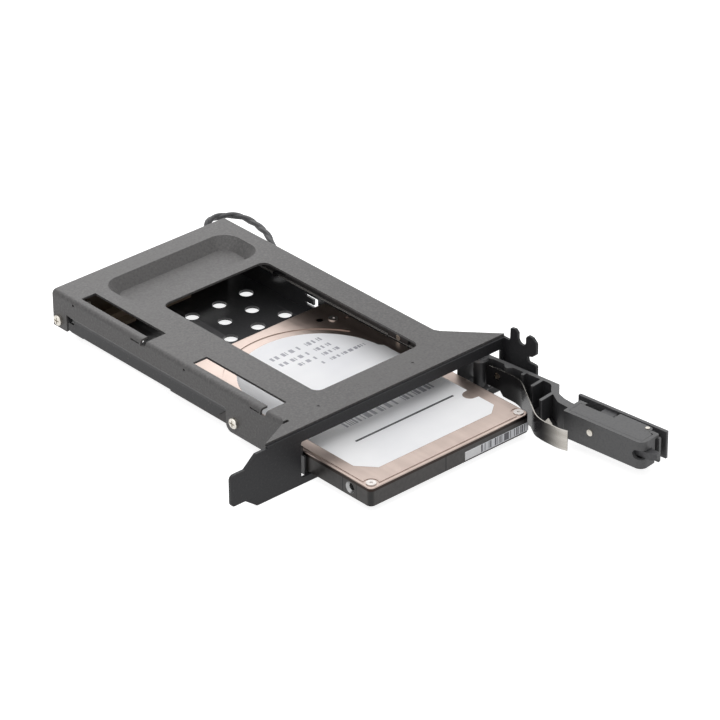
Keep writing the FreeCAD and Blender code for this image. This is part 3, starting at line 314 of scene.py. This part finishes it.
# the casting's rounded front corners carry painted shade in the seams' colour
driveCasting = dict(screwSteel, dark=(0.034, 0.031, 0.030), light=(0.050, 0.046, 0.044), metal=0.35, roughness=0.4,
                    streakScale=600.0, bumpDepth=0.00004, holes=[(-18.55, 5.55, 2.05), (58.05, 5.55, 2.05)],
                    bareAndHighlightColour=(0.34, 0.34, 0.34), frontSeam=66.3, front=-27.9, sideSeams=[-21.5, -15.0],
                    side=34.2, seamWidth=0.5, seamAndShadeColour=(0.006, 0.006, 0.006),
                    corner=(33.75, 103.6, -28.3, 1.08, 1.75), cornerPaintedShade=0.85)
# the lid's edge colour is painted shade
driveLid = dict(screwSteel, dark=(0.40, 0.325, 0.29), light=(0.47, 0.385, 0.345), roughness=0.34, bump=0.05,
                streak=(1.0, 0.04, 1.0), streakScale=500.0, edge=(8.88, 9.05), edgePaintedShadeColour=(0.03, 0.022, 0.019))
driveScrewSteel = dict(screwSteel, dark=(0.50, 0.47, 0.45), light=(0.66, 0.63, 0.61))

finishes = {
    "cover_paint": paintFinish("coverPaint", topPaint),
    "bracket_paint": paintFinish("bracketPaint", bracketPaint),
    "tray_paint": paintFinish("trayPaint", trayPaint),
    "door_plastic": paintFinish("armPlastic", armPlastic),
    "latch_plastic": paintFinish("latchPlastic", latchPlastic),
    "socket_plastic": paintFinish("portPlastic", portPlastic),
    "header_plastic": paintFinish("headerPlastic", headerPlastic),
    "board_laminate": paintFinish("boardLaminate", boardLaminate),
    "grommet_rubber": paintFinish("rubber", rubber),
    "wire_jacket": paintFinish("wireJacket", wireJacket),
    "screw_steel": metalFinish("screwSteel", screwSteel),
    "spring_steel": leafFinish("springSteel", springSteel),
    "drive_casting": castingFinish("driveCasting", driveCasting),
    "drive_lid": metalFinish("driveLid", driveLid),
    "drive_screw_steel": metalFinish("driveScrewSteel", driveScrewSteel),
}
ownFinishes = {                                           # the socket is browner than the two ports behind the board
    "spring_rivet": metalFinish("rivetSteel", rivetSteel),
    "drive_socket": paintFinish("socketPlastic", socketPlastic),
}
slotOf = {part["node"]: part["material_slot"] for part in frame["record"]["subparts"]}
for name, piece in nodes.items():
    piece.data.materials.clear()
    piece.data.materials.append(ownFinishes.get(name, finishes[slotOf[name]]))
print("finishes:", len(finishes) + len(ownFinishes))


def gridFaces(rows, columns, wrap):
    r, c = np.meshgrid(np.arange(rows - 1), np.arange(columns if wrap else columns - 1), indexing="ij")
    d = (c + 1) % columns
    corners = [r * columns + c, r * columns + d, (r + 1) * columns + d, (r + 1) * columns + c]
    return np.stack(corners, -1).reshape(-1, 4)


def addMesh(name, points, faces, finish, body, smooth=True):
    mesh = bpy.data.meshes.new(name)
    mesh.from_pydata(np.asarray(points).tolist(), [], np.asarray(faces).tolist())
    mesh.polygons.foreach_set("use_smooth", np.full(len(mesh.polygons), smooth))
    mesh.materials.append(finish)
    mesh.update()
    piece = bpy.data.objects.new(name, mesh)
    scene.collection.objects.link(piece)
    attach(piece, body)
    return piece


# The wire is two strands laid round the route's smooth line: each strand's centre goes round the line, half a
# turn apart, a share of the wire's diameter away from it, and a ring of points is carried along it.
signalWire = {
    "diameter": 2.0, "strandShare": 0.47, "swingShare": 0.15, "layLength": 12.5, "ring": 14, "steps": 440,
    "straightEnd": 0.16, "endSpread": 0.25, "smoothing": 24, "order": 3,
    "route": [(95.0, 127.05, 10.5), (95.0, 133.6, 10.2), (98.9, 138.0, 8.7), (106.2, 138.9, 8.6),
              (110.2, 141.6, 11.6), (115.0, 142.2, 11.0), (119.2, 140.0, 11.0), (121.4, 136.0, 11.0),
              (121.7, 130.6, 10.8), (120.6, 124.6, 10.9), (119.0, 118.8, 10.6), (114.6, 111.0, 9.4),
              (114.0, 104.0, 10.4), (112.6, 98.9, 11.6), (109.2, 94.6, 12.4), (100.4, 94.6, 12.4)],
}


def splineLine(name, make):
    curve = bpy.data.curves.new(name, "CURVE")
    curve.dimensions = "3D"
    curve.resolution_u = make["smoothing"]
    spline = curve.splines.new("NURBS")
    route = np.array(make["route"]) * mm
    spline.points.add(len(route) - 1)
    spline.points.foreach_set("co", np.c_[route, np.ones(len(route))].ravel())
    spline.order_u = make["order"]
    spline.use_endpoint_u = True
    holder = bpy.data.objects.new(name, curve)
    scene.collection.objects.link(holder)
    bpy.context.view_layer.update()
    mesh = bpy.data.meshes.new_from_object(holder)
    line = np.zeros(len(mesh.vertices) * 3)
    mesh.vertices.foreach_get("co", line)
    bpy.data.objects.remove(holder)
    return line.reshape(-1, 3)


def evenly(line, count):
    along = np.r_[0.0, np.cumsum(np.linalg.norm(np.diff(line, axis=0), axis=1))]
    wanted = np.linspace(0.0, along[-1], count)
    return np.stack([np.interp(wanted, along, line[:, k]) for k in range(3)], 1), wanted


def twistedWire(name, make):
    line, along = evenly(splineLine(name + "Line", make), make["steps"])
    tangent = np.gradient(line, axis=0)
    tangent /= np.linalg.norm(tangent, axis=1)[:, None]
    side = np.cross(tangent, (0.0, 0.0, 1.0))
    side /= np.linalg.norm(side, axis=1)[:, None]
    over = np.cross(side, tangent)
    strand = make["diameter"] * mm * make["strandShare"]
    swing = make["diameter"] * mm * make["swingShare"]
    share = along / along[-1]
    fromEnd = np.minimum(share, 1 - share) / make["straightEnd"]
    spread = np.clip(fromEnd, make["endSpread"], 1.0) * swing            # the strands close up at the ends
    ring = np.linspace(0, 2 * np.pi, make["ring"], endpoint=False)
    points, faces = [], []
    for turn in (0.0, np.pi):
        lay = 2 * np.pi * along / (make["layLength"] * mm) + turn
        centre = line + spread[:, None] * (np.cos(lay)[:, None] * side + np.sin(lay)[:, None] * over)
        tube = centre[:, None] + strand * (np.cos(ring)[None, :, None] * side[:, None] +
                                           np.sin(ring)[None, :, None] * over[:, None])
        start = sum(len(p) for p in points)
        points.append(tube.reshape(-1, 3))
        faces.append(gridFaces(make["steps"], make["ring"], True)[:, ::-1] + start)
    piece = addMesh(name, np.concatenate(points), np.concatenate(faces), finishes["wire_jacket"], "bay")
    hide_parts("signal_wire")
    return float(along[-1])


wireLength = twistedWire("signalWire", signalWire)
print("wire laid:", round(wireLength / mm, 1), "mm")


# The two springs: each is its node's shape with shared points merged, laid on the door; the leaf spring's
# lower edge dips in its middle.
leafSpring = {"node": "leaf_spring", "joint": "door_hinge", "along": (0.9936, 0.1132, 0.0),
              "held": (111.14, 2.34, 9.0), "keep": 0.88, "crease": 0.6, "mergeDigits": 7,
              "below": 6.0, "lowerBy": [(-37.0, 0.0), (-31.0, 0.85), (-8.0, 0.85), (-5.0, 0.0)]}
boltSpring = {"node": "latch_spring", "joint": "bolt_slide", "along": (-0.1132, 0.9936, 0.0),
              "held": (114.80, -40.79, 9.0), "keep": 0.88, "crease": 1.2, "mergeDigits": 7}


def givingSpring(name, make):
    shape = nodes[make["node"]].data
    corners = np.zeros(len(shape.vertices) * 3)
    shape.vertices.foreach_get("co", corners)
    rounded = np.round(corners.reshape(-1, 3), make["mergeDigits"])
    points, shared = np.unique(rounded, axis=0, return_inverse=True)
    if "lowerBy" in make:                                 # the strip's lower edge dips in its middle
        place, drop = np.array(make["lowerBy"]).T * mm
        points[:, 2] -= np.interp(points[:, 1], place, drop) * (points[:, 2] < make["below"] * mm)
    shape.calc_loop_triangles()
    faces = np.zeros(len(shape.loop_triangles) * 3, int)
    shape.loop_triangles.foreach_get("vertices", faces)
    faces = shared.ravel()[faces].reshape(-1, 3)
    whole = np.all(faces != np.roll(faces, 1, axis=1), axis=1)           # drops triangles that merging closed
    slotName = slotOf[make["node"]]
    piece = addMesh(name, points, faces[whole], finishes[slotName], "door")
    piece.data.set_sharp_from_angle(angle=make["crease"])
    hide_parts(make["node"])
    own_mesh(piece)


givingSpring("leafSpring", leafSpring)
givingSpring("boltSpring", boltSpring)
print("springs set")


# Drive label: for each y the sheet runs from a left edge to a right edge. The edges are straight with cut
# front corners, step round the breather hole, and close in on a circle at the rear.
driveLabel = {"left": 39.0, "right": 98.3, "front": -20.4, "cutLeft": (5.4, 6.1), "cutRight": (4.4, 3.4),
              "hole": (97.0, -7.0, 2.6), "circle": (69.5, 36.0, 27.6), "swell": (2.0, 14.0, 10.0),
              "height": 9.58, "thick": 0.05, "rows": 260, "columns": 24, "tip": 0.01}
# Paper label: off-white with a faint drift, fibres in the bump, a dark rule and rows of plain bars.
labelPrint = {"paper": (0.93, 0.93, 0.94), "paperDark": (0.80, 0.805, 0.835), "shadeStops": (0.3, 0.7),
              "driftScale": 35.0, "fibreScale": 2600.0, "roughness": 0.42, "roughSpread": 0.1, "bump": 0.08,
              "bumpDepth": 0.00003, "ink": (0.06, 0.06, 0.065), "bars": (0.36, 0.36, 0.40), "barPitch": 0.42,
              "barCut": 0.5, "rule": (49.6, 92.6, -4.1, -3.2),
              "rows": [(52, 92, 4.6, 9.2), (63.6, 85.6, 53.0, 55.2), (63.6, 85.6, 48.4, 50.4),
                       (67.0, 86.4, 44.6, 46.4), (73.7, 94.0, 40.6, 42.2)]}


def labelEdges(make, y):
    cx, cy, radius = make["circle"]
    half = np.sqrt(np.clip(radius ** 2 - np.clip(y - cy, 0, None) ** 2, 0, None))
    ahead, run, widest = make["swell"]                    # widens from the circle to the straight sides
    swell = np.clip((cy + ahead - y) / run, 0, 1) * widest
    cutLeft, cutRight = (wide * np.clip(1 - (y - make["front"]) / deep, 0, 1)
                         for wide, deep in (make["cutLeft"], make["cutRight"]))
    left = np.maximum(cx - half - swell, make["left"] + cutLeft)
    right = np.minimum(cx + half + swell, make["right"] - cutRight)
    holeX, holeY, holeRadius = make["hole"]
    bite = np.sqrt(np.clip(holeRadius ** 2 - (y - holeY) ** 2, 0, None))
    return left, np.where(bite > 0, np.minimum(right, holeX - bite), right)


def bars(here, look):
    x = here.axis(0)
    cell = x.math("FLOOR", x * (1 / (look["barPitch"] * mm)))
    draw = here.node("ShaderNodeTexWhiteNoise", {"noise_dimensions": "1D"}, {"W": cell})
    return draw.above(look["barCut"])


def printedArea(here, bounds):
    x0, x1, y0, y1 = (k * mm for k in bounds)
    return here.axis(0).between(x0, x1) * here.axis(1).between(y0, y1)


def labelFinish(look):
    finish, shader, here = startFinish("labelPaper")
    drift = here.noise(look["driftScale"], detail=3.0)
    fibre = here.noise(look["fibreScale"], detail=3.0)
    paper = drift.fade(look["shadeStops"], look["paperDark"], look["paper"])
    rows = printedArea(here, look["rows"][0])
    for bounds in look["rows"][1:]:
        rows = rows.either(printedArea(here, bounds))
    printed = (bars(here, look) * rows).blend(paper, rgb(*look["bars"]))
    setSockets(shader, {
        "Base Color": printedArea(here, look["rule"]).blend(printed, rgb(*look["ink"])),
        "Roughness": look["roughness"] + (fibre - 0.5) * look["roughSpread"],
        "Normal": fibre.bump(look),
    })
    return finish


def addLabel(make, look):
    y = np.linspace(make["front"], make["circle"][1] + make["circle"][2] - make["tip"], make["rows"])
    left, right = labelEdges(make, y)
    x = left[:, None] + (right - left)[:, None] * np.linspace(0, 1, make["columns"])
    points = np.stack([x, np.broadcast_to(y[:, None], x.shape), np.full_like(x, make["height"])], -1)
    faces = gridFaces(make["rows"], make["columns"], False)
    piece = addMesh("driveLabel", points.reshape(-1, 3) * mm, faces, labelFinish(look), "drive", False)
    thick = piece.modifiers.new("paper", "SOLIDIFY")
    thick.thickness, thick.offset = make["thick"] * mm, 0.0


addLabel(driveLabel, labelPrint)

# Front sticker: a flat grid of x and z, a hair in front of the drive's front face.
frontSticker = {"left": 74.7, "right": 103.0, "low": 3.1, "high": 6.3, "out": 0.04, "plainEnd": 81.8,
                "columns": 40, "rows": 6}
# Sticker film: a plain white end, then greyer film with upright bars.
stickerPrint = {"paper": (0.84, 0.85, 0.89), "plain": (0.96, 0.96, 0.97), "ink": (0.10, 0.10, 0.12),
                "barPitch": 0.3, "barCut": 0.52, "margins": (0.6, 0.3, 0.2), "roughness": 0.3,
                "roughSpread": 0.1, "hazeScale": 900.0}


def stickerFinish(look, make):
    finish, shader, here = startFinish("stickerFilm")
    x, z = here.axis(0), here.axis(2)
    rightGap, lowGap, highGap = look["margins"]
    field = (x.between(make["plainEnd"] * mm, (make["right"] - rightGap) * mm)
             * z.between((make["low"] + lowGap) * mm, (make["high"] - highGap) * mm))
    film = x.below(make["plainEnd"] * mm).blend(rgb(*look["paper"]), rgb(*look["plain"]))
    setSockets(shader, {
        "Base Color": (bars(here, look) * field).blend(film, rgb(*look["ink"])),
        "Roughness": look["roughness"] + (here.noise(look["hazeScale"]) - 0.5) * look["roughSpread"],
    })
    return finish


def addSticker(make, look):
    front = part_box("drive_base")[0][1] / mm - make["out"]
    x, z = np.meshgrid(np.linspace(make["left"], make["right"], make["columns"]),
                       np.linspace(make["low"], make["high"], make["rows"]))
    points = np.stack([x, np.full_like(x, front), z], -1).reshape(-1, 3) * mm
    faces = gridFaces(make["rows"], make["columns"], False)
    piece = addMesh("frontSticker", points, faces, stickerFinish(look, make), "drive", False)


addSticker(frontSticker, stickerPrint)
print("label and sticker laid")

# Floor, world and lamps: name, place, target, size and power of each lamp
studio = {"floorSize": 4.0, "floorColour": (0.5, 0.5, 0.5), "floorRoughness": 0.9, "floorGlow": 0.86, "world": 0.32,
          "lamps": [("sheenLamp", (0.75, 0.95, 0.75), (0.06, 0.05, 0.0), 1.1, 1.7),
                    ("rearLamp", (0.16, 0.26, 0.13), (0.05, 0.12, 0.02), 0.13, 0.075),
                    ("topLamp", (0.0, 0.1, 1.3), (0.06, 0.03, 0.0), 2.4, 19.0),
                    ("leftLamp", (-1.2, -0.5, 0.7), (0.06, 0.03, 0.01), 0.8, 0.8)]}


# One where the floor or sky is looked at, also in a reflection or through glass, and nought where it lights
def rayShare(here):
    path = here.tree.nodes.new("ShaderNodeLightPath")
    camera, glossy, through = (Val(here.tree, path.outputs[k]) for k in
                               ("Is Camera Ray", "Is Glossy Ray", "Is Transmission Ray"))
    return here.math("MINIMUM", camera + glossy + through, 1.0)


def addFloor(look):
    size = look["floorSize"]
    mesh = bpy.data.meshes.new("floor")
    mesh.from_pydata([(-size, -size, 0), (size, -size, 0), (size, size, 0), (-size, size, 0)], [], [(0, 1, 2, 3)])
    floor = bpy.data.objects.new("floor", mesh)
    scene.collection.objects.link(floor)
    finish, shader, here = startFinish("floorPaper")
    setSockets(shader, {
        "Base Color": rgb(*look["floorColour"]), "Roughness": look["floorRoughness"],
        "Emission Color": (rayShare(here) * look["floorGlow"]).fade((0.0, 1.0)), "Emission Strength": 1.0,
    })
    mesh.materials.append(finish)


def addLamps(look):
    for name, place, target, size, power in look["lamps"]:
        data = bpy.data.lights.new(name, "AREA")
        data.energy, data.size = power, size
        lamp = bpy.data.objects.new(name, data)
        lamp.location = place
        lamp.visible_camera = False
        lamp.rotation_euler = (Vector(target) - Vector(place)).to_track_quat("-Z", "Y").to_euler()
        scene.collection.objects.link(lamp)


def addWorld(look):
    world = bpy.data.worlds.new("studio")
    scene.world = world
    world.use_nodes = True
    tree = world.node_tree
    tree.nodes.clear()
    here = Val(tree)
    strength = look["world"] + rayShare(here) * (1.0 - look["world"])
    sky = here.node("ShaderNodeBackground", None, {"Color": rgb(1, 1, 1), "Strength": strength})
    tree.links.new(sky.out, tree.nodes.new("ShaderNodeOutputWorld").inputs[0])


addFloor(studio)
addLamps(studio)
addWorld(studio)
scene.view_settings.view_transform = "Standard"
print("studio set")
